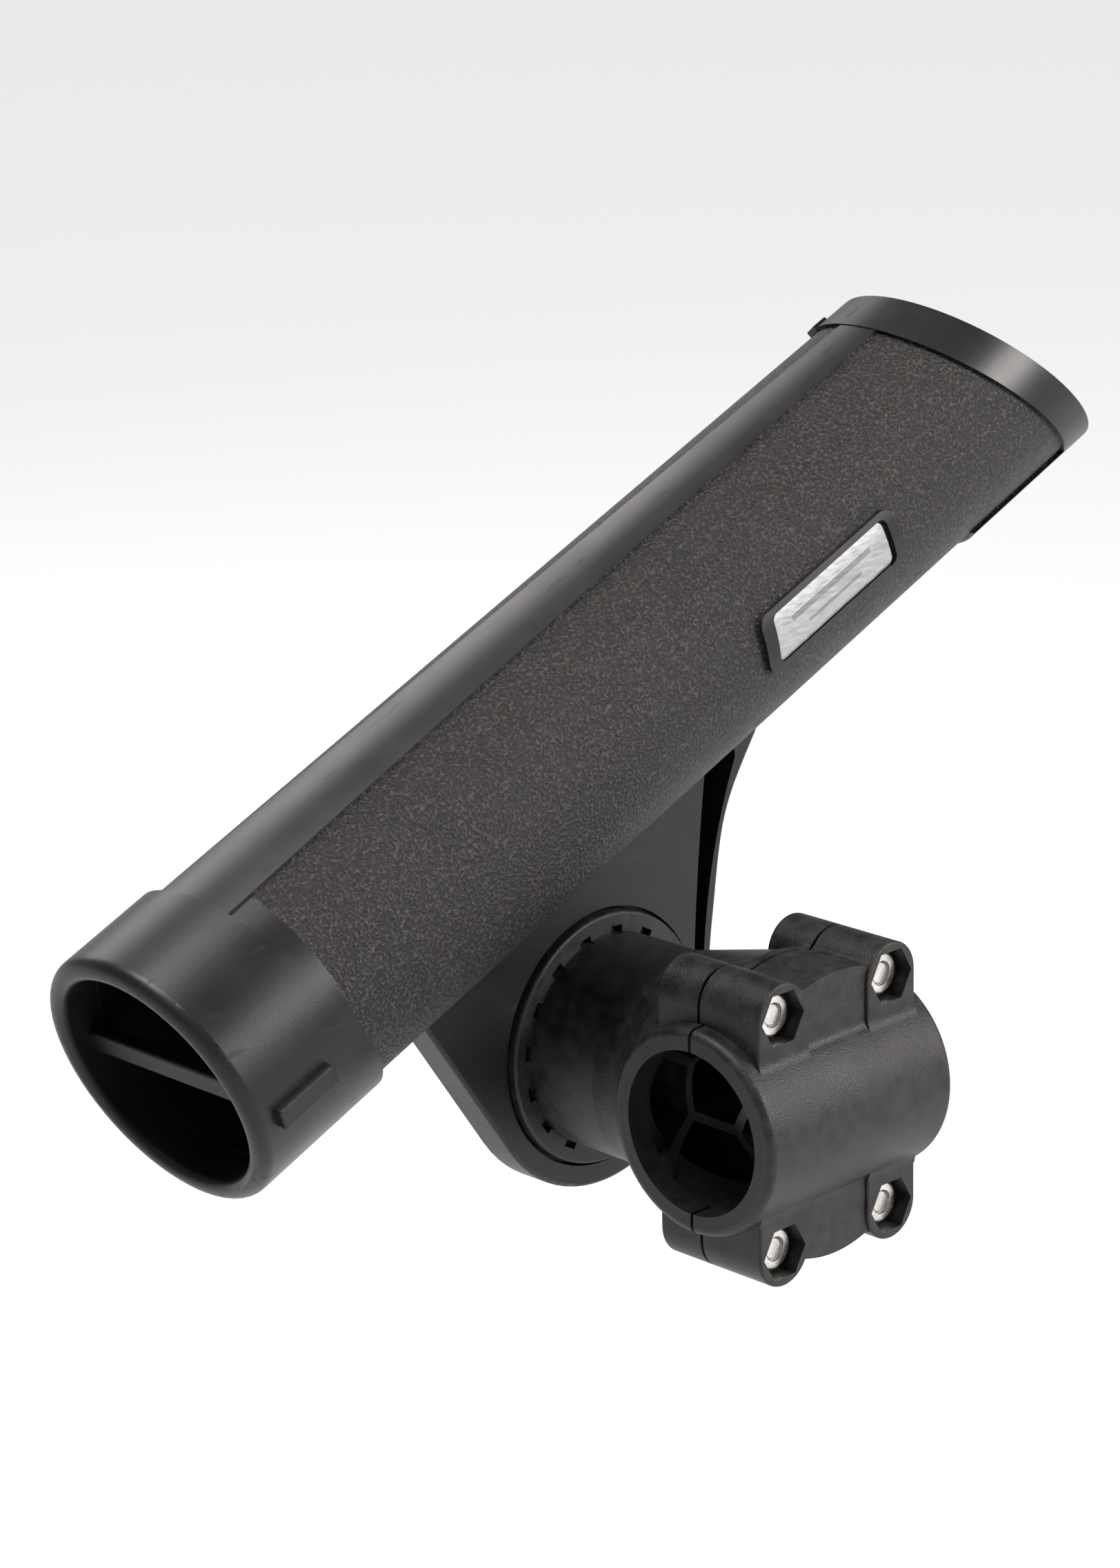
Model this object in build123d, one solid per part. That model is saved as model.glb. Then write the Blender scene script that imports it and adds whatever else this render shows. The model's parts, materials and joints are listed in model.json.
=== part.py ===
from build123d import *
import math
import os

# Rail-mount fishing rod holder: an open tube with a bracket plate, turned about a neck
# that grows out of the base half of a two-piece rail clamp.
# Millimetres. Origin: centre of the rail bore. +X along the rail, +Y from the clamp
# towards the tube, +Z up.

# ---------------------------------------------------------------- driving dimensions
# rail clamp
RAIL_R = 16.0            # bore for a 1 1/4 inch rail
CLAMP_R = 20.2           # outside of the clamp cylinder
CLAMP_LENGTH = 51.0      # along the rail
CLAMP_END_FILLET = 1.7
SPLIT_GAP = 0.7          # open gap between the two halves
EAR_SPLIT_Y = 1.15       # middle of that gap out at the bolt bosses
DISC_R = 28.0            # round web that joins the four bolt bosses
DISC_HALF_X = 20.0       # the web stops short of the clamp's ends
DISC_FRONT_Y = -13.0
DISC_BACK_Y = 3.2
DISC_BLEND_R = 2.6       # concave blend from the web's face to the clamp cylinder
BOLT_X = 15.0            # bolt pattern, half spacings
BOLT_Z = 23.1
BOSS_R = 6.7
BOSS_FRONT_Y = -13.7
BOSS_BACK_Y = 11.9
BOSS_BLEND_R = 3.5
EAR_FILLET = 1.5         # between boss and web
FLARE_R = 27.6           # cone from the web's back down to the neck
FLARE_END_Y = 29.5

# clamp fasteners (No. 10 pan head screw and nylon-insert nut)
SCREW_R = 2.40
SCREW_HOLE_R = 2.70
SCREW_HEAD_R = 4.55
SCREW_HEAD_H = 2.9
HEAD_BORE_R = 4.9
HEAD_SEAT_Y = 8.7
SCREW_END_Y = -10.7
NUT_AF = 9.5
NUT_POCKET_AF = 9.8
NUT_FLOOR_Y = -5.2       # bottom of the hex pocket
NUT_HEX_H = 4.1
NUT_CROWN_R = 4.3
NUT_CROWN_H = 1.9
NUT_BORE_R = 2.44        # running clearance on the screw

# neck and toothed joint
NECK_R = 21.4
FLANGE_R = 25.4
FLANGE_FRONT_Y = 46.2
FLANGE_BACK_Y = 49.5
RIM_NOTCHES = 16
NOTCH_PHASE = 15.0       # degrees from +X towards +Z
NOTCH_W = 3.0
NOTCH_DEPTH = 1.6
TEETH = 24               # face teeth, 15 degree steps
TOOTH_ANGLE = 4.6
TOOTH_H = 1.0
TOOTH_R_IN = 12.0
TOOTH_R_OUT = 24.0
JOINT_GAP = 0.2

# coring of the base half
WALL = 2.8
RIB_T = 1.7
END_WALL = 5.0
CORE_DEPTH_Y = 39.0
HEX_POCKET_AF = 16.4
HEX_FLOOR_Y = 36.0

# pivot bolt (M10) with washer and nylon-insert nut
PIVOT_R = 5.0
PIVOT_HOLE_R = 5.3
PIVOT_HEAD_AF = 16.0
PIVOT_HEAD_H = 6.4
PIVOT_WASHER_R = 10.0
PIVOT_WASHER_T = 1.8
PIVOT_WASHER_HOLE_R = 5.2
PIVOT_NUT_H = 7.2
PIVOT_NUT_BORE_R = 5.02
PIVOT_CROWN_R = 7.0
PIVOT_CROWN_H = 3.0
PIVOT_END = 1.6          # bolt end beyond the nut

# bracket plate
PLATE_NEAR_Y = 47.7
PLATE_FAR_Y = 56.3
PLATE_END_R = 30.6       # round lower end about the pivot
PLATE_LEFT_ANGLE = 124.2 # direction of the straight left edge
RECESS_R = 26.2
RECESS_FLOOR_Y = FLANGE_BACK_Y + TOOTH_H + JOINT_GAP
GROOVE_DEPTH = 6.4

# tube
TILT = 22.6              # tube axis above the rail axis
TUBE_Y = 50.2
TUBE_H = 62.2            # pivot axis to tube axis
BORE_R = 22.2            # 1 3/4 inch bore
PANEL_R = 25.4
STRIP_R = 26.1
RIM_R = 26.3
COLLAR_R = 26.8
NEAR_S = -94.0           # near mouth, measured along the tube axis
LIP_OUTER = 2.6          # roundings of the near mouth's lip
LIP_INNER = 1.6
RELIEF_R = 22.5          # slightly wider stretch that holds the gimbal bar
RELIEF_END_S = -85.0
COLLAR_END_S = -68.2     # collar's full height ends here
COLLAR_SLOPE = -0.234
COLLAR_RAMP = 3.1
COLLAR_EDGE_R = 26.1     # ramp ends here, in a small step down to the tube
RIM_END_S = 147.0        # oblique far mouth
RIM_END_SLOPE = -0.56
RIM_START_S = 137.8
RIM_START_SLOPE = -0.62
BAR_H = 4.8              # gimbal bar across the near mouth
BAR_DEPTH = 3.2
BAR_S = -89.2
BAR_U = -0.6

# badge on the tube's side
BADGE_S = 71.8
BADGE_U = 0.9
BADGE_L = 40.6
BADGE_W = 12.6
BADGE_SLANT = 2.0        # how far the lower near corner runs on
BADGE_TOP_R = 26.6
LABEL_L = 33.6
LABEL_W = 9.6
LABEL_SLANT = 1.8
LABEL_FLOOR_R = 25.5
LABEL_T = 0.6
LABEL_END_GAP = 1.0      # free room at the label's far end

BIG = 400.0


# ---------------------------------------------------------------- helpers
def along_y(radius, y0, y1, x=0.0, z=0.0):
    """Cylinder about a line parallel to Y, from y0 to y1."""
    return Pos(x, y0, z) * Rot(-90, 0, 0) * Cylinder(
        radius, y1 - y0, align=(Align.CENTER, Align.CENTER, Align.MIN))


def along_x(radius, half_length):
    """Cylinder about the X axis, centred on the origin."""
    return Rot(0, 90, 0) * Cylinder(radius, 2 * half_length)


def hex_y(across_flats, y0, y1, x=0.0, z=0.0, turn=0.0):
    """Hexagonal prism along Y; turn 0 puts two corners on the X axis."""
    plane = Plane(origin=(x, y0, z), x_dir=(1, 0, 0), z_dir=(0, 1, 0))
    outline = plane * RegularPolygon(across_flats / math.sqrt(3), 6, rotation=turn)
    return extrude(outline, y1 - y0)


def slab_y(y0, y1):
    """Everything between two planes across Y."""
    return Pos(0, y0, 0) * Box(BIG, y1 - y0, BIG, align=(Align.CENTER, Align.MIN, Align.CENTER))


def extrude_y(sketch, y0, y1):
    """Prism of an XZ outline between two planes across Y."""
    plane = Plane(origin=(0, y1, 0), x_dir=(1, 0, 0), z_dir=(0, -1, 0))
    return extrude(plane * sketch, y1 - y0)


def ring_copies(solid, count):
    """Copies of a solid evenly spaced about the Y axis."""
    return [Rot(0, 360.0 * i / count, 0) * solid for i in range(count)]


def bolt_centres():
    """Bolt axes in the order near top, far top, near bottom, far bottom."""
    return [(sx * BOLT_X, sz * BOLT_Z) for sz in (1, -1) for sx in (-1, 1)]


def edges_at_y(part, y, min_radius=0.0):
    """Circular or straight edges that lie in the plane Y = y."""
    picked = part.edges().filter_by_position(Axis.Y, y - 0.01, y + 0.01)
    return [e for e in picked if e.length > min_radius]


# ---------------------------------------------------------------- tube frame
def tube_plane():
    """Local frame of the tube: z along its axis, y away from the pivot, x = world Y."""
    tilt = math.radians(TILT)
    centre = (-TUBE_H * math.sin(tilt), TUBE_Y, TUBE_H * math.cos(tilt))
    return Plane(origin=centre, x_dir=(0, 1, 0), z_dir=(math.cos(tilt), 0, math.sin(tilt)))


def beyond(s, slope):
    """Half space beyond the oblique plane z = s + slope * y of the tube frame."""
    plane = Plane(origin=(0, 0, s), x_dir=(1, 0, 0), z_dir=(0, -slope, 1))
    return plane * Box(BIG, BIG, BIG, align=(Align.CENTER, Align.CENTER, Align.MIN))


def tube_rod(radius, s0, s1):
    """Cylinder on the tube axis between two stations."""
    return Pos(0, 0, s0) * Cylinder(radius, s1 - s0, align=(Align.CENTER, Align.CENTER, Align.MIN))


def collar():
    """Thick collar round the near mouth, with an oblique ramp down to the tube."""
    body = tube_rod(COLLAR_R, NEAR_S, 0) - beyond(COLLAR_END_S + COLLAR_RAMP, COLLAR_SLOPE)
    ramp_edge = body.edges().sort_by(Axis.Z)[-1]
    body = chamfer(ramp_edge, COLLAR_R - COLLAR_EDGE_R, COLLAR_RAMP)
    lip = body.edges().sort_by(Axis.Z)[0]
    return fillet(lip, LIP_OUTER)


def far_rim():
    """Raised band round the oblique far mouth."""
    band = tube_rod(RIM_R, 60, 220) - beyond(RIM_END_S, RIM_END_SLOPE)
    band &= beyond(RIM_START_S, RIM_START_SLOPE)
    pad_profile = Plane.YZ * make_face(Polyline(
        (-18.5, 118.5), (-25.4, 121.5), (-RIM_R - 0.5, 129), (-RIM_R - 0.5, 240), (-18.5, 240), close=True))
    pad = extrude(pad_profile, BIG / 2, both=True)
    pad = (tube_rod(RIM_R, 60, 220) & pad) - beyond(RIM_END_S, RIM_END_SLOPE)
    return band + pad


def top_strip():
    """Smooth strip along the crest that narrows towards the far mouth."""
    outline = Plane.XZ * make_face(Polyline(
        (-9.2, -75), (9.2, -75), (4.4, 130), (-4.4, 130), close=True))
    blade = extrude(outline, -60)
    return tube_rod(STRIP_R, -75, 130) & blade


def radial_box(angle, s0, s1, width, r0, r1):
    """Box standing on the tube at an angle measured from -Y towards the crest."""
    block = Pos(-(r0 + r1) / 2, 0, (s0 + s1) / 2) * Box(r1 - r0, width, s1 - s0)
    block = fillet(block.edges(), 0.35)
    return Rot(0, 0, -angle) * block


def side_prism(near_s, far_s, width, slant, corner, radius_in, radius_out):
    """Rounded oblong on the tube's side, cut out of the shell between two radii.
    Its lower near corner runs on by the slant."""
    plane = Plane(origin=(-18, BADGE_U, 0), x_dir=(0, 0, 1), z_dir=(-1, 0, 0))
    outline = Polygon((near_s - slant, -width / 2), (far_s, -width / 2), (far_s, width / 2),
                      (near_s, width / 2), align=None)
    outline = fillet(outline.vertices(), corner)
    prism = extrude(plane * outline, 20)
    return (tube_rod(radius_out, -10, 140) & prism) - tube_rod(radius_in, -10, 140)


def near_mouth_cut():
    """Rounded inner lip and the slightly wider stretch behind it."""
    flare = tube_rod(RELIEF_R + LIP_INNER, NEAR_S - 5, NEAR_S + LIP_INNER)
    ring = Pos(0, 0, NEAR_S + LIP_INNER) * Torus(RELIEF_R + LIP_INNER, LIP_INNER)
    return (flare - ring) + tube_rod(RELIEF_R, NEAR_S - 5, RELIEF_END_S)


# ---------------------------------------------------------------- bracket plate
def bracket_plate():
    """Flat plate under the tube with a round lower end about the pivot."""
    tilt = math.radians(TILT)
    t = (math.cos(tilt), math.sin(tilt))
    u = (-math.sin(tilt), math.cos(tilt))
    under = TUBE_H - PANEL_R + 0.1

    def on_tube(s, inset=0.0):
        return (s * t[0] + (under + inset) * u[0], s * t[1] + (under + inset) * u[1])

    left = math.radians(PLATE_LEFT_ANGLE)
    left_dir = (math.cos(left), math.sin(left))
    foot = (-PLATE_END_R * math.sin(left), PLATE_END_R * math.cos(left))
    along = (under - foot[0] * u[0] - foot[1] * u[1]) / (left_dir[0] * u[0] + left_dir[1] * u[1])
    corner = (foot[0] + along * left_dir[0], foot[1] + along * left_dir[1])
    corner_s = corner[0] * t[0] + corner[1] * t[1]
    right_end = on_tube(76)
    lines = Curve() + [
        Polyline(on_tube(76), on_tube(76, 8), on_tube(corner_s - 14, 8), on_tube(corner_s - 14), corner, foot),
        ThreePointArc(foot, (0, -PLATE_END_R), (PLATE_END_R, 0)),
        Spline((PLATE_END_R, 0), (33.0, 21.9), (36.6, 38.0), (45.2, 52.0), right_end,
               tangents=[(0, 1), t]),
    ]
    face = make_face(lines)
    inner_corner = face.vertices().sort_by_distance(Vector(corner[0], corner[1], 0))[0]
    face = fillet(inner_corner, 7.0)
    plane = Plane(origin=(0, PLATE_FAR_Y, 0), x_dir=(1, 0, 0), z_dir=(0, -1, 0))
    plate = extrude(plane * face, PLATE_FAR_Y - PLATE_NEAR_Y)
    outline = edges_at_y(plate, PLATE_NEAR_Y, 20) + edges_at_y(plate, PLATE_FAR_Y, 20)
    return fillet(outline, 0.9)


def edge_groove():
    """Deep narrow groove beside the plate's right edge, open on the near face."""
    lines = Curve() + [
        Spline((26.2, 10.0), (27.4, 26.0), (30.0, 48.0)),
        Line((30.0, 48.0), (34.5, 50.5)),
        ThreePointArc((34.5, 50.5), (37.8, 50.6), (38.4, 47.6)),
        Spline((38.4, 47.6), (35.2, 39.6), (32.3, 30.0), (29.0, 10.0)),
        ThreePointArc((29.0, 10.0), (27.6, 8.8), (26.2, 10.0)),
    ]
    plane = Plane(origin=(0, PLATE_NEAR_Y + GROOVE_DEPTH, 0), x_dir=(1, 0, 0), z_dir=(0, -1, 0))
    return extrude(plane * make_face(lines), GROOVE_DEPTH + 5)


def face_teeth(y0, y1, offset):
    """Radial face teeth of the pivot joint."""
    ring = along_y(TOOTH_R_OUT, y0, y1) - along_y(TOOTH_R_IN, y0, y1)
    half = math.radians(TOOTH_ANGLE / 2)
    far = TOOTH_R_OUT + 4
    plane = Plane(origin=(0, y0, 0), x_dir=(1, 0, 0), z_dir=(0, 1, 0))
    wedge = extrude(plane * make_face(Polyline(
        (0, 0), (far * math.cos(half), far * math.sin(half)),
        (far * math.cos(half), -far * math.sin(half)), close=True)), y1 - y0)
    wedges = [Rot(0, offset + 360.0 * i / TEETH, 0) * wedge for i in range(TEETH)]
    return ring & Compound(wedges)


# ---------------------------------------------------------------- holder
def rod_tube():
    """One moulding: tube, collar, rim, strip, badge frame, nubs and bracket plate."""
    tube = tube_rod(PANEL_R, NEAR_S + 4, 200) - beyond(RIM_END_S, RIM_END_SLOPE)
    tube = tube + collar() + far_rim() + top_strip()
    tube += side_prism(BADGE_S - BADGE_L / 2, BADGE_S + BADGE_L / 2, BADGE_W, BADGE_SLANT,
                       3.0, PANEL_R - 1.0, BADGE_TOP_R)
    tube -= side_prism(BADGE_S - LABEL_L / 2 - 0.2, BADGE_S + LABEL_L / 2 + LABEL_END_GAP,
                       LABEL_W + 0.4, LABEL_SLANT, 1.6, LABEL_FLOOR_R, BADGE_TOP_R + 3)
    for angle in (-6.5, 186.5):
        tube += radial_box(angle, -89.0, -75.2, 4.2, COLLAR_R - 1.5, COLLAR_R + 1.8)
    tube += radial_box(129, 124.6, 128.4, 3.6, PANEL_R - 1.5, RIM_R + 0.6)
    body = tube_plane() * tube
    body += bracket_plate()
    body -= edge_groove()
    body -= tube_plane() * (tube_rod(BORE_R, NEAR_S - 20, 220) + near_mouth_cut())
    bar = Pos(0, BAR_U, BAR_S + BAR_DEPTH / 2) * Box(2 * BORE_R + 2, BAR_H, BAR_DEPTH)
    body += tube_plane() * fillet(bar.edges().filter_by(Axis.X), 0.7)
    body -= along_y(RECESS_R, PLATE_NEAR_Y - 5, RECESS_FLOOR_Y)
    body += face_teeth(RECESS_FLOOR_Y - TOOTH_H, RECESS_FLOOR_Y + 0.3, 180.0 / TEETH)
    body -= along_y(PIVOT_HOLE_R, PLATE_NEAR_Y, PLATE_FAR_Y + 5)
    return body


def name_badge():
    """Thin curved label in the badge frame."""
    label = side_prism(BADGE_S - LABEL_L / 2, BADGE_S + LABEL_L / 2, LABEL_W, LABEL_SLANT,
                       1.4, LABEL_FLOOR_R + 0.02, LABEL_FLOOR_R + LABEL_T)
    return tube_plane() * label


# ---------------------------------------------------------------- clamp
def boss_outline(x, z):
    """Bolt boss: round outer end and straight sides that run in to the clamp cylinder."""
    inner = 12.0
    side = Pos(x, math.copysign((abs(z) + inner) / 2, z)) * Rectangle(2 * BOSS_R, abs(z) - inner)
    return Pos(x, z) * Circle(BOSS_R) + side


def ear_outline():
    """Round web and the four bosses as one outline, with small concave fillets between them."""
    outline = Circle(DISC_R) & Rectangle(2 * DISC_HALF_X, BIG)
    for x, z in bolt_centres():
        outline += boss_outline(x, z)
    corners = [v for v in outline.vertices() if abs(v.X) < DISC_HALF_X / 2 + 2]
    return fillet(corners, EAR_FILLET)


def half_cylinder(y_low, y_high):
    """Part of the clamp cylinder, with rounded ends, between two planes across Y."""
    cylinder = along_x(CLAMP_R, CLAMP_LENGTH / 2)
    return fillet(cylinder.edges(), CLAMP_END_FILLET) & slab_y(y_low, y_high)


def face_blend(face_y, blend_r, half_length, x=0.0):
    """Concave blends, above and below, from a face across Y to the clamp cylinder."""
    centre_y = face_y - blend_r
    centre_z = math.sqrt((CLAMP_R + blend_r) ** 2 - centre_y ** 2)
    share = CLAMP_R / (CLAMP_R + blend_r)
    middle = Vector((share * centre_y + face_y) / 2, (share * centre_z + centre_z) / 2)
    middle = Vector(centre_y, centre_z) + (middle - Vector(centre_y, centre_z)).normalized() * blend_r
    inside = (face_y + 1.0, centre_z * 0.86)
    lines = Curve() + [
        ThreePointArc((face_y, centre_z), (middle.X, middle.Y), (share * centre_y, share * centre_z)),
        Polyline((share * centre_y, share * centre_z), inside, (face_y, centre_z)),
    ]
    upper = Pos(x, 0, 0) * extrude(Plane.YZ * make_face(lines), half_length, both=True)
    return upper + mirror(upper, Plane.XY)


def clamp_cap():
    """Outer clamp half with a plain half bore and four hex nut pockets."""
    ear_end = EAR_SPLIT_Y - SPLIT_GAP / 2
    cap = extrude_y(ear_outline(), DISC_FRONT_Y, ear_end)
    cap -= along_x(CLAMP_R + 0.4, BIG / 2) & slab_y(-SPLIT_GAP / 2, BIG / 4)
    cap += half_cylinder(-BIG / 4, -SPLIT_GAP / 2)
    cap += face_blend(DISC_FRONT_Y, DISC_BLEND_R, DISC_HALF_X)
    for x, z in bolt_centres():
        boss = extrude_y(boss_outline(x, z), BOSS_FRONT_Y, DISC_FRONT_Y + 1)
        cap += fillet(edges_at_y(boss, BOSS_FRONT_Y), 0.5)
    for x in (-BOLT_X, BOLT_X):
        cap += face_blend(BOSS_FRONT_Y, BOSS_BLEND_R, BOSS_R, x)
    cap -= along_x(RAIL_R, CLAMP_LENGTH)
    for x, z in bolt_centres():
        cap -= along_y(SCREW_HOLE_R, -BIG / 4, 5, x, z)
        cap -= hex_y(NUT_POCKET_AF, -BIG / 4, NUT_FLOOR_Y, x, z)
    return cap


def base_core():
    """Hollow of the base half between its end walls and down the neck."""
    half_open = CLAMP_LENGTH / 2 - END_WALL
    room = along_x(CLAMP_R - WALL, half_open) & slab_y(-1, CLAMP_R)
    room += along_y(NECK_R - WALL - 0.4, 0, CORE_DEPTH_Y)
    outer_af = HEX_POCKET_AF + 2 * RIB_T
    webs = hex_y(outer_af, -1, CORE_DEPTH_Y, turn=30)
    for i in range(3):
        rib = Box(80, CORE_DEPTH_Y + 2, RIB_T, align=(Align.CENTER, Align.MIN, Align.CENTER))
        webs += Pos(0, -1, 0) * Rot(0, 30 + 60 * i, 0) * rib
    return room - webs


def neck():
    """Round neck with its flare at the clamp and its notched, toothed flange."""
    start = EAR_SPLIT_Y + SPLIT_GAP / 2
    flare = Cone(FLARE_R, NECK_R, FLARE_END_Y - DISC_BACK_Y,
                 align=(Align.CENTER, Align.CENTER, Align.MIN))
    body = along_y(NECK_R, start, FLANGE_BACK_Y)
    body += Pos(0, DISC_BACK_Y, 0) * Rot(-90, 0, 0) * flare
    flange = along_y(FLANGE_R, FLANGE_FRONT_Y, FLANGE_BACK_Y)
    body += fillet(flange.edges(), 0.6)
    body += face_teeth(FLANGE_BACK_Y - 0.3, FLANGE_BACK_Y + TOOTH_H, 0.0)
    notch = Pos(NECK_R + 0.55, FLANGE_FRONT_Y - 1, 0) * Box(
        1.5, NOTCH_DEPTH + 1, NOTCH_W, align=(Align.CENTER, Align.MIN, Align.CENTER))
    turned = Rot(0, -NOTCH_PHASE, 0) * notch
    return body - Compound(ring_copies(turned, RIM_NOTCHES))


def clamp_base():
    """Inner clamp half in one piece with the neck, cored out around a hex pocket."""
    ear_start = EAR_SPLIT_Y + SPLIT_GAP / 2
    base = extrude_y(ear_outline(), ear_start, DISC_BACK_Y)
    base += half_cylinder(SPLIT_GAP / 2, BIG / 4)
    for x, z in bolt_centres():
        boss = extrude_y(boss_outline(x, z), DISC_BACK_Y - 1, BOSS_BACK_Y)
        base += fillet(edges_at_y(boss, BOSS_BACK_Y), 0.9)
    base += neck()
    base -= along_x(RAIL_R, CLAMP_LENGTH)
    base -= base_core()
    base -= hex_y(HEX_POCKET_AF, -1, HEX_FLOOR_Y, turn=30)
    base -= along_y(PIVOT_HOLE_R, 0, FLANGE_BACK_Y + 5)
    for x, z in bolt_centres():
        base -= along_y(SCREW_HOLE_R, -1, 25, x, z)
        base -= along_y(HEAD_BORE_R, HEAD_SEAT_Y, FLANGE_FRONT_Y - 4, x, z)
    return base


# ---------------------------------------------------------------- fasteners
def clamp_screw(x, z):
    """Pan head screw with a cross recess, sunk into the base's boss."""
    top = HEAD_SEAT_Y + SCREW_HEAD_H
    head = along_y(SCREW_HEAD_R, HEAD_SEAT_Y, top)
    head = fillet(edges_at_y(head, top), 1.3)
    for turn in (0, 90):
        head -= Pos(0, top - 1.5, 0) * Rot(0, turn, 0) * Box(
            4.6, 3, 1.1, align=(Align.CENTER, Align.MIN, Align.CENTER))
    shank = along_y(SCREW_R, SCREW_END_Y, HEAD_SEAT_Y + 0.5)
    shank = chamfer(edges_at_y(shank, SCREW_END_Y), 0.5)
    return Pos(x, 0, z) * (head + shank)


def insert_nut(af, hex_h, crown_r, crown_h, hole, insert_r):
    """Nylon-insert nut standing on y = 0 with its crown towards +Y, and the ring in it."""
    corner_r = af * 0.565
    body = hex_y(af, 0, hex_h) & along_y(corner_r, -1, hex_h + 1)
    top = fillet(edges_at_y(along_y(corner_r, 0, hex_h), hex_h), 0.9)
    body &= top
    body += along_y(crown_r, hex_h - 0.5, hex_h + crown_h)
    body = fillet(edges_at_y(body, hex_h + crown_h), 0.35 * crown_h)
    body -= along_y(hole, -1, hex_h + crown_h + 1)
    body -= along_y(insert_r, hex_h - 0.3, hex_h + crown_h - 0.45)
    ring = along_y(insert_r - 0.01, hex_h - 0.3, hex_h + crown_h - 0.45)
    ring -= along_y(hole + 0.01, -1, hex_h + crown_h + 1)
    return body, ring


def clamp_nuts(x, z):
    """Nut in the cap's pocket with its crown towards -Y, and its ring."""
    nut, ring = insert_nut(NUT_AF, NUT_HEX_H, NUT_CROWN_R, NUT_CROWN_H, NUT_BORE_R, NUT_BORE_R + 1.0)
    place = Pos(x, NUT_FLOOR_Y, z) * Rot(0, 0, 180)
    return place * nut, place * ring


def pivot_bolt():
    """Hex head bolt whose head sits in the hex pocket of the base half."""
    head = hex_y(PIVOT_HEAD_AF, HEX_FLOOR_Y - PIVOT_HEAD_H, HEX_FLOOR_Y, turn=30)
    head &= along_y(PIVOT_HEAD_AF * 0.565, HEX_FLOOR_Y - PIVOT_HEAD_H, HEX_FLOOR_Y)
    end = PLATE_FAR_Y + PIVOT_WASHER_T + PIVOT_NUT_H + PIVOT_CROWN_H + PIVOT_END
    shank = along_y(PIVOT_R, HEX_FLOOR_Y - 1, end)
    shank = chamfer(edges_at_y(shank, end), 0.8)
    return head + shank


def pivot_washer():
    """Plain washer between the bracket plate and the pivot nut."""
    end = PLATE_FAR_Y + PIVOT_WASHER_T
    washer = along_y(PIVOT_WASHER_R, PLATE_FAR_Y, end)
    washer = fillet(edges_at_y(washer, end), 0.3)
    return washer - along_y(PIVOT_WASHER_HOLE_R, PLATE_FAR_Y - 1, end + 1)


def pivot_nuts():
    """Nut on the far side of the bracket plate and the nylon ring in its crown."""
    nut, ring = insert_nut(PIVOT_HEAD_AF, PIVOT_NUT_H, PIVOT_CROWN_R, PIVOT_CROWN_H,
                           PIVOT_NUT_BORE_R, PIVOT_NUT_BORE_R + 1.2)
    place = Pos(0, PLATE_FAR_Y + PIVOT_WASHER_T, 0)
    return place * nut, place * ring


# ---------------------------------------------------------------- build and write
def build():
    nodes = {
        "rod_tube": rod_tube(),
        "name_badge": name_badge(),
        "clamp_base": clamp_base(),
        "clamp_cap": clamp_cap(),
        "pivot_bolt": pivot_bolt(),
        "pivot_washer": pivot_washer(),
    }
    nodes["pivot_nut"], nodes["pivot_nut_insert"] = pivot_nuts()
    for i, (x, z) in enumerate(bolt_centres(), 1):
        nodes[f"clamp_bolt_{i}"] = clamp_screw(x, z)
        nodes[f"clamp_nut_{i}"], nodes[f"nut_insert_{i}"] = clamp_nuts(x, z)
    return nodes


os.makedirs("parts", exist_ok=True)
for node, shape in build().items():
    export_step(shape, f"parts/{node}.step")
    print(node, len(shape.solids()), round(shape.volume), shape.is_valid)
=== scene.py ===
import json
import math

import bpy
from mathutils import Matrix, Vector


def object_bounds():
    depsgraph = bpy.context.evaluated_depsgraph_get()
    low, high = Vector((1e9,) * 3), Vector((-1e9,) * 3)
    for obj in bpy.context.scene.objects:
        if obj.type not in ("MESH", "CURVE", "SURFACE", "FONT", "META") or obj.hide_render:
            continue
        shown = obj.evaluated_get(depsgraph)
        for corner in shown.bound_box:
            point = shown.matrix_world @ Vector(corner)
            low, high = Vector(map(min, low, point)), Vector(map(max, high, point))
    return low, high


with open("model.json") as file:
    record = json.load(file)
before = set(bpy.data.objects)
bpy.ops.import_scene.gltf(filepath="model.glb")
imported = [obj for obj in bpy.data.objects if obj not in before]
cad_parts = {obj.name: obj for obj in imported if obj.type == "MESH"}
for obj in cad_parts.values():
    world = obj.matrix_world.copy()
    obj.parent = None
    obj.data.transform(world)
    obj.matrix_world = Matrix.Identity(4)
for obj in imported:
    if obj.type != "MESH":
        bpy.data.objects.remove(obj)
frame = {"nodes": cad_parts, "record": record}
cad_lo, cad_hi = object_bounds()
nodes = frame["nodes"]

MM = 0.001
PER_METRE = 1000.0       # turns metres into the millimetres that the shaders work in

# The tube's own axis, as the record's rod bore gives it: T along it, U away from the pivot.
BORE = next(m for m in frame["record"]["mounts"] if m["name"] == "rod_bore")
TUBE_T = Vector(BORE["axis"])
TUBE_U = Vector((-TUBE_T.z, 0, TUBE_T.x))
TUBE_Y = BORE["pos_m"][1]
TUBE_H = Vector(BORE["pos_m"]).dot(TUBE_U)


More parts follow.
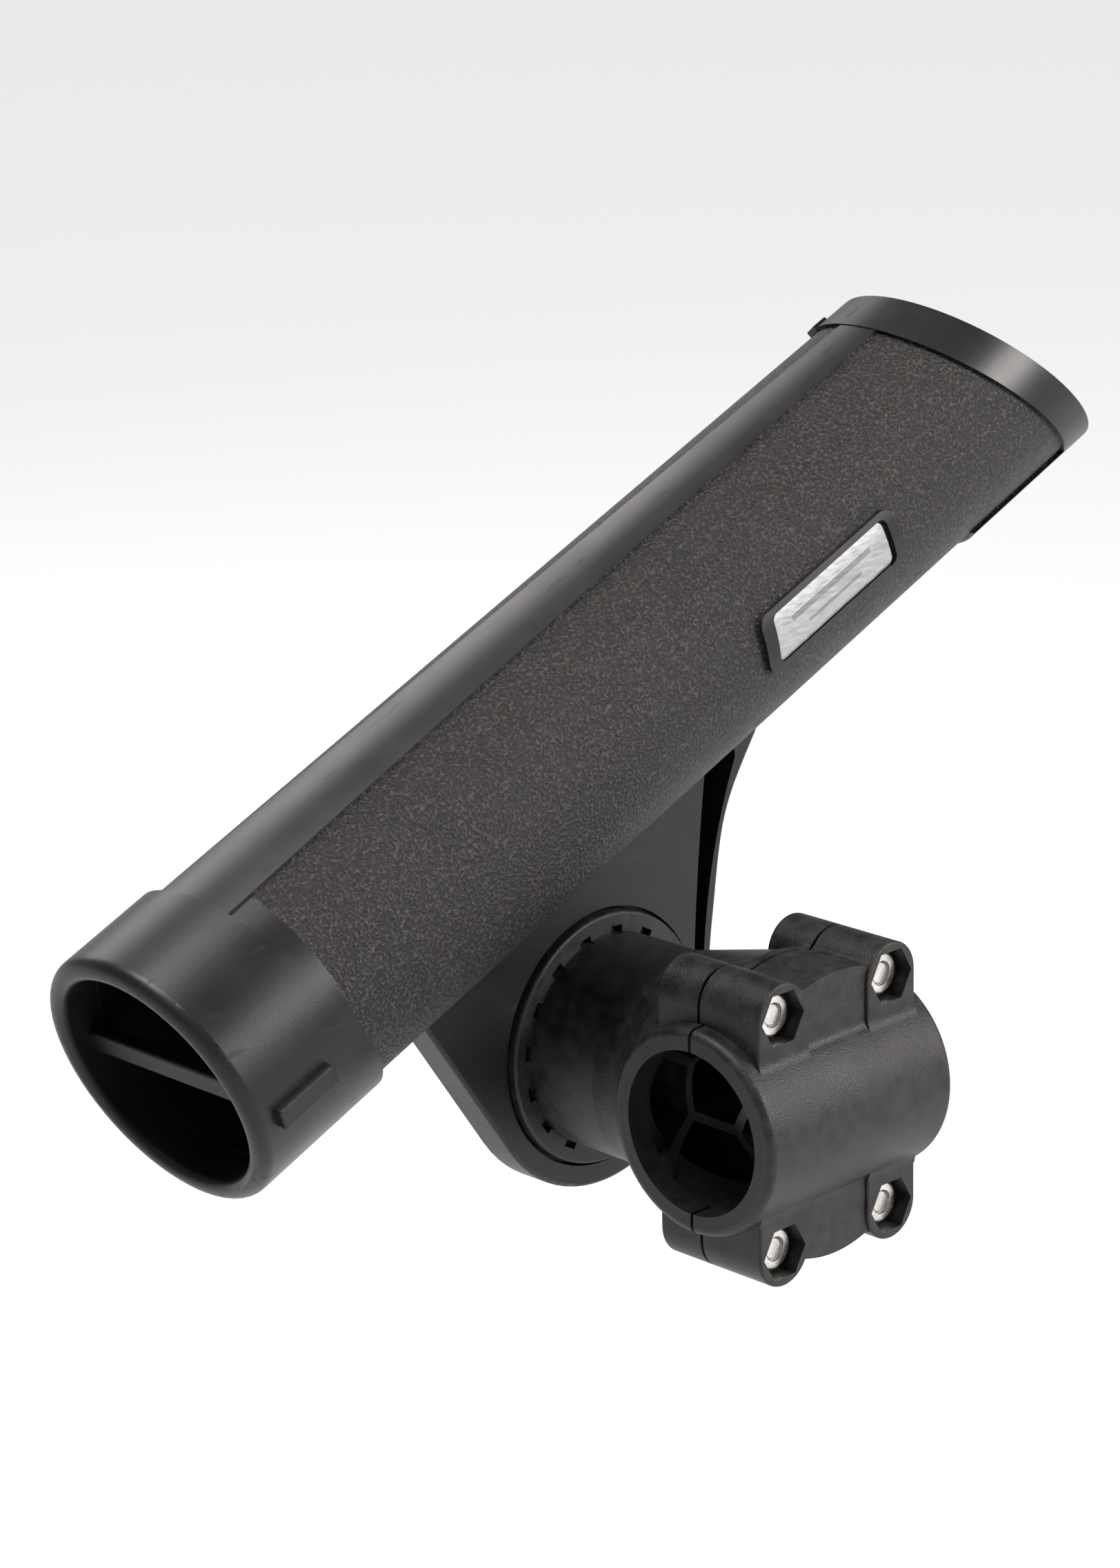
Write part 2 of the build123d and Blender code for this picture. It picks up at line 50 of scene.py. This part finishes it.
# ------------------------------------------------------------------ camera, floor, light
CAMERA_AT = Vector((-0.5573, -0.5091, 0.2981))
CAMERA_AZIMUTH = math.radians(-44.50)
CAMERA_ELEVATION = math.radians(17.36)
CAMERA_ROLL = math.radians(-1.37)
CAMERA_LENS = 98.7
SENSOR_WIDTH = 36
NEAR_CLIP = 0.02
FLOOR_DROP = 0.170       # leaves room below for the tube at any tilt
FLOOR_HALF = 40.0
FLOOR_GREY = 0.35
FLOOR_GLOW = 0.72        # keeps the floor evenly pale away from the lights
SKY_STRENGTH = 0.25
LAMP_TINT = (1.0, 0.965, 0.945)
SOFTBOXES = [            # name, place, aimed at, width, height, watts
    ("front_right", (0.55, -0.85, 0.52), (0, 0, 0.04), 0.42, 0.36, 15),
    ("back", (0.25, 1.05, 0.66), (0, 0, 0.06), 0.8, 0.6, 5.0),
    ("top", (-0.35, 0.15, 1.10), (0, 0, 0.05), 0.5, 0.5, 13),
]


def add_camera():
    """Camera from its place, heading, elevation and roll."""
    az, el = CAMERA_AZIMUTH, CAMERA_ELEVATION
    look = Vector((-math.sin(az) * math.cos(el), math.cos(az) * math.cos(el), -math.sin(el)))
    right = look.cross(Vector((0, 0, 1))).normalized()
    up = right.cross(look)
    c, s = math.cos(CAMERA_ROLL), math.sin(CAMERA_ROLL)
    x_axis = c * right + s * up
    y_axis = c * up - s * right
    matrix = Matrix((x_axis, y_axis, -look)).transposed().to_4x4()
    matrix.translation = CAMERA_AT
    data = bpy.data.cameras.new("camera")
    data.lens = CAMERA_LENS
    data.sensor_width = SENSOR_WIDTH
    data.clip_start = NEAR_CLIP
    camera = bpy.data.objects.new("camera", data)
    bpy.context.scene.collection.objects.link(camera)
    camera.matrix_world = matrix
    bpy.context.scene.camera = camera


def add_floor():
    """Plain pale floor well below the object."""
    mesh = bpy.data.meshes.new("floor")
    z = cad_lo.z - FLOOR_DROP
    signs = ((-1, -1), (1, -1), (1, 1), (-1, 1))
    corners = [(sx * FLOOR_HALF, sy * FLOOR_HALF, z) for sx, sy in signs]
    mesh.from_pydata(corners, [], [(0, 1, 2, 3)])
    floor = bpy.data.objects.new("floor", mesh)
    bpy.context.scene.collection.objects.link(floor)
    material = bpy.data.materials.new("floor")
    material.use_nodes = True
    shader = material.node_tree.nodes["Principled BSDF"]
    shader.inputs["Base Color"].default_value = (FLOOR_GREY, FLOOR_GREY, FLOOR_GREY, 1)
    shader.inputs["Roughness"].default_value = 0.9
    shader.inputs["Emission Color"].default_value = (1, 1, 1, 1)
    shader.inputs["Emission Strength"].default_value = FLOOR_GLOW
    mesh.materials.append(material)


def add_softbox(name, position, target, width, height, watts):
    """Rectangular area light aimed at a point."""
    data = bpy.data.lights.new(name, "AREA")
    data.shape = "RECTANGLE"
    data.size = width
    data.size_y = height
    data.energy = watts
    data.color = LAMP_TINT
    light = bpy.data.objects.new(name, data)
    bpy.context.scene.collection.objects.link(light)
    light.location = position
    aim = Vector(target) - Vector(position)
    light.rotation_euler = aim.to_track_quat("-Z", "Y").to_euler()


def add_world():
    """Weak even light from all round."""
    world = bpy.data.worlds.new("studio")
    bpy.context.scene.world = world
    world.use_nodes = True
    background = world.node_tree.nodes["Background"]
    background.inputs["Color"].default_value = (1, 1, 1, 1)
    background.inputs["Strength"].default_value = SKY_STRENGTH


# ------------------------------------------------------------------ shader graph helpers
class Graph:
    """A material's node tree with short ways to add what the materials below need."""

    def __init__(self, name):
        self.material = bpy.data.materials.new(name)
        self.material.use_nodes = True
        self.tree = self.material.node_tree
        self.shader = self.tree.nodes["Principled BSDF"]
        self.point = self.tree.nodes.new("ShaderNodeTexCoord").outputs["Object"]

    def feed(self, socket, value):
        if isinstance(value, bpy.types.NodeSocket):
            self.tree.links.new(value, socket)
        else:
            socket.default_value = value

    def math(self, operation, a, b=0.0, clamp=False):
        node = self.tree.nodes.new("ShaderNodeMath")
        node.operation = operation
        node.use_clamp = clamp
        self.feed(node.inputs[0], a)
        self.feed(node.inputs[1], b)
        return node.outputs[0]

    def dot(self, axis):
        node = self.tree.nodes.new("ShaderNodeVectorMath")
        node.operation = "DOT_PRODUCT"
        self.feed(node.inputs[0], self.point)
        node.inputs[1].default_value = axis
        return node.outputs["Value"]

    def remap(self, value, lo, hi, out_lo=0.0, out_hi=1.0):
        node = self.tree.nodes.new("ShaderNodeMapRange")
        self.feed(node.inputs["Value"], value)
        node.inputs["From Min"].default_value = lo
        node.inputs["From Max"].default_value = hi
        self.feed(node.inputs["To Min"], out_lo)
        self.feed(node.inputs["To Max"], out_hi)
        return node.outputs["Result"]

    def noise(self, size_mm, detail=2.0, stretch=(1, 1, 1)):
        mapping = self.tree.nodes.new("ShaderNodeMapping")
        mapping.inputs["Scale"].default_value = stretch
        self.feed(mapping.inputs["Vector"], self.point)
        node = self.tree.nodes.new("ShaderNodeTexNoise")
        self.feed(node.inputs["Vector"], mapping.outputs["Vector"])
        node.inputs["Scale"].default_value = PER_METRE / size_mm
        node.inputs["Detail"].default_value = detail
        return node.outputs["Fac"]

    def mix(self, factor, a, b):
        node = self.tree.nodes.new("ShaderNodeMix")
        node.data_type = "RGBA"
        self.feed(node.inputs["Factor"], factor)
        self.feed(node.inputs[6], (*a, 1) if isinstance(a, tuple) else a)
        self.feed(node.inputs[7], (*b, 1) if isinstance(b, tuple) else b)
        return node.outputs[2]

    def bump(self, height, depth_mm, strength, below=None):
        node = self.tree.nodes.new("ShaderNodeBump")
        self.feed(node.inputs["Height"], height)
        self.feed(node.inputs["Strength"], strength)
        node.inputs["Distance"].default_value = depth_mm * MM
        if below is not None:
            self.feed(node.inputs["Normal"], below)
        return node.outputs["Normal"]

    def finish(self, colour, roughness, normal, metallic=0.0, specular=0.5):
        self.feed(self.shader.inputs["Base Color"], colour)
        self.feed(self.shader.inputs["Roughness"], roughness)
        self.shader.inputs["Metallic"].default_value = metallic
        self.shader.inputs["Specular IOR Level"].default_value = specular
        self.feed(self.shader.inputs["Normal"], normal)
        return self.material

    def across(self, axis, centre=0.0):
        """Distance in mm along an axis from a centre given in metres."""
        metres = self.dot(axis)
        if centre:
            metres = self.math("SUBTRACT", metres, centre)
        return self.math("MULTIPLY", metres, PER_METRE)

    def length(self, a, b):
        """Length of a vector from its two parts at right angles."""
        square = self.math("ADD", self.math("MULTIPLY", a, a), self.math("MULTIPLY", b, b))
        return self.math("SQRT", square)

    def tube_coordinates(self):
        """Along the tube, away from the pivot, and distance from the tube's axis, in mm."""
        along = self.across(TUBE_T)
        away = self.across(TUBE_U, TUBE_H)
        side = self.across((0, 1, 0), TUBE_Y)
        return along, away, self.length(away, side)

    def bar(self, along, away, centre, half):
        """Mask of a bar on the badge: its centre and half sizes, along the tube and across."""
        from_centre = self.math("ABSOLUTE", self.math("SUBTRACT", away, centre[1]))
        from_middle = self.math("ABSOLUTE", self.math("SUBTRACT", along, centre[0]))
        tall = self.remap(from_centre, half[1] + 0.15, half[1])
        long = self.remap(from_middle, half[0] + 0.3, half[0])
        return self.math("MULTIPLY", tall, long)


# ------------------------------------------------------------------ materials
# Where the tube's finish changes, in mm: pairs run from no effect to full effect.
BAND_INNER = (25.75, 25.9)       # smooth strip, rim and collar stand proud of the panel
BAND_OUTER = (27.4, 27.2)
COLLAR_EDGE = (-65.0, -65.5)
COLLAR_OUTER = (29.5, 29.2)
BORE_EDGE = (22.9, 22.6)
PLATE_EDGE = (27.6, 28.2)
CLAMP_BORE_EDGE = (18.6, 18.2)   # the same about the rail's axis
CLAMP_END = (27.0, 26.5)
FINE_PITCH = 0.79                # thread pitches
COARSE_PITCH = 1.5


def tube_plastic():
    """Grained panels and plate, smooth collar, strip and rim, and a rougher bore painted near black as
    shade.
    """
    g = Graph("tube_plastic")
    along, _, radius = g.tube_coordinates()
    on_band = g.math("MULTIPLY", g.remap(radius, *BAND_INNER), g.remap(radius, *BAND_OUTER))
    on_collar = g.remap(along, *COLLAR_EDGE)
    smooth = g.math("MAXIMUM", on_band, g.math("MULTIPLY", on_collar, g.remap(radius, *COLLAR_OUTER)))
    in_bore = g.remap(radius, *BORE_EDGE)
    on_plate = g.remap(radius, *PLATE_EDGE)
    not_grained = g.math("MAXIMUM", smooth, g.math("MAXIMUM", in_bore, on_plate))
    coarse = g.math("SUBTRACT", 1.0, not_grained, True)

    mottle = g.noise(16, 3)
    grain = g.noise(0.62, 2)
    fine = g.noise(0.22, 1)
    scuff = g.remap(g.noise(9, 5, (1, 1, 3)), 0.60, 0.74)
    scratch = g.remap(g.noise(3.0, 3, (0.09, 1.4, 0.9)), 0.66, 0.72)

    colour = g.mix(g.remap(mottle, 0.3, 0.7), (0.0075, 0.0070, 0.0068), (0.0120, 0.0112, 0.0108))
    colour = g.mix(g.math("MULTIPLY", coarse, g.remap(grain, 0.50, 0.70)), colour, (0.058, 0.053, 0.051))
    colour = g.mix(g.math("MULTIPLY", scuff, 0.22), colour, (0.040, 0.038, 0.037))
    # painted shade: the bore is coloured near black to stand for the shade inside the tube
    colour = g.mix(in_bore, colour, (0.0020, 0.0020, 0.0015))

    rough = g.remap(mottle, 0.3, 0.7, 0.40, 0.47)
    rough = g.math("ADD", rough, g.math("MULTIPLY", coarse, g.remap(fine, 0.3, 0.7, 0.02, 0.16)))
    rough = g.math("SUBTRACT", rough, g.math("MULTIPLY", smooth, 0.05))
    rough = g.math("ADD", rough, g.math("MULTIPLY", in_bore, 0.12))
    rough = g.math("ADD", rough, g.math("MULTIPLY", scratch, 0.12), True)

    height = g.bump(grain, 0.65, coarse)
    height = g.bump(fine, 0.07, g.math("ADD", g.math("MULTIPLY", on_plate, 0.55), 0.18), height)
    height = g.bump(g.noise(22, 1), 0.25, 0.30, height)
    height = g.bump(scratch, 0.02, 0.30, height)
    return g.finish(colour, rough, height, specular=0.34)


def clamp_plastic():
    """Glass-filled moulding: finely mottled satin with a trace of flow marks, its bore painted near
    black as shade.
    """
    g = Graph("clamp_plastic")
    mottle = g.noise(3.2, 4)
    cloud = g.noise(14, 2)
    fine = g.noise(0.28, 2)
    bore = g.remap(g.length(g.across((0, 1, 0)), g.across((0, 0, 1))), *CLAMP_BORE_EDGE)
    painted_bore_shade = g.math("MULTIPLY", bore, g.remap(g.math("ABSOLUTE", g.across((1, 0, 0))), *CLAMP_END))

    colour = g.mix(g.remap(mottle, 0.35, 0.68), (0.0060, 0.0056, 0.0054), (0.0230, 0.0215, 0.0205))
    colour = g.mix(g.math("MULTIPLY", g.remap(fine, 0.56, 0.72), 0.5), colour, (0.045, 0.042, 0.040))
    # painted shade: inside the bore, between the clamp's ends, the colour goes near black
    colour = g.mix(g.math("MULTIPLY", painted_bore_shade, 0.6), colour, (0.0015, 0.0015, 0.0015))

    rough = g.remap(cloud, 0.3, 0.7, 0.38, 0.48)
    rough = g.math("ADD", rough, g.remap(mottle, 0.3, 0.7, -0.03, 0.08), True)

    height = g.bump(fine, 0.14, 0.75)
    height = g.bump(mottle, 0.10, 0.35, height)
    height = g.bump(cloud, 0.30, 0.22, height)
    return g.finish(colour, rough, height, specular=0.36)


def steel(name, pitch=None):
    """Bright turned steel, with a thread of the given pitch in mm where there is one, its roots painted
    darker as shade.
    """
    g = Graph(name)
    brushed = g.noise(0.35, 3, (1, 0.12, 1))
    stain = g.noise(2.2, 3)
    colour = g.mix(g.remap(stain, 0.35, 0.7), (0.70, 0.69, 0.67), (0.58, 0.565, 0.54))
    rough = g.remap(stain, 0.3, 0.7, 0.20, 0.30)
    rough = g.math("ADD", rough, g.remap(brushed, 0.3, 0.7, -0.03, 0.05), True)
    normal = g.bump(brushed, 0.03, 0.30)
    if pitch:
        half_turn = g.math("MULTIPLY", g.across((0, 1, 0)), math.pi / pitch)
        ridge = g.math("ABSOLUTE", g.math("SINE", half_turn))
        normal = g.bump(ridge, 0.30, 0.75, normal)
        # painted shade: the thread's roots are coloured darker
        colour = g.mix(g.remap(ridge, 0.45, 0.05), colour, (0.20, 0.195, 0.19))
    return g.finish(colour, rough, normal, metallic=1.0)


def badge_label():
    """Brushed silver label with two plain bars."""
    g = Graph("badge")
    along, away, _ = g.tube_coordinates()
    brushed = g.noise(0.30, 3, (0.10, 1, 0.6))
    cloud = g.noise(7, 2)
    colour = g.mix(g.remap(brushed, 0.3, 0.7), (0.34, 0.34, 0.345), (0.47, 0.47, 0.475))
    upper = g.bar(along, away, (71.5, 2.4), (12.0, 0.60))
    lower = g.bar(along, away, (71.5, -0.6), (8.0, 0.30))
    marks = g.math("MAXIMUM", upper, lower)
    colour = g.mix(g.math("MULTIPLY", marks, 0.55), colour, (0.10, 0.10, 0.105))
    rough = g.remap(brushed, 0.3, 0.7, 0.34, 0.46)
    rough = g.math("ADD", rough, g.remap(cloud, 0.3, 0.7, -0.03, 0.05), True)
    normal = g.bump(brushed, 0.02, 0.4)
    normal = g.bump(marks, 0.04, 0.5, normal)
    return g.finish(colour, rough, normal, metallic=0.75)


def nylon_ring():
    """Natural nylon, faintly clouded."""
    g = Graph("nylon")
    cloud = g.noise(0.8, 3)
    colour = g.mix(g.remap(cloud, 0.3, 0.7), (0.60, 0.58, 0.52), (0.70, 0.68, 0.62))
    return g.finish(colour, g.remap(cloud, 0.3, 0.7, 0.42, 0.55), g.bump(cloud, 0.04, 0.4))


def dress_nodes():
    """Gives every node of the object its material."""
    tube = tube_plastic()
    clamp = clamp_plastic()
    badge = badge_label()
    nylon = nylon_ring()
    plain_steel = steel("steel")
    fine_thread = steel("steel_fine_thread", FINE_PITCH)
    coarse_thread = steel("steel_coarse_thread", COARSE_PITCH)
    for name, node in nodes.items():
        if name == "rod_tube":
            material = tube
        elif name in ("clamp_base", "clamp_cap"):
            material = clamp
        elif name == "name_badge":
            material = badge
        elif "insert" in name:
            material = nylon
        elif name.startswith("clamp_bolt"):
            material = fine_thread
        elif name == "pivot_bolt":
            material = coarse_thread
        else:
            material = plain_steel
        node.data.materials[0] = material


dress_nodes()
add_camera()
add_floor()
add_world()
for softbox in SOFTBOXES:
    add_softbox(*softbox)
bpy.context.scene.view_settings.view_transform = "Standard"
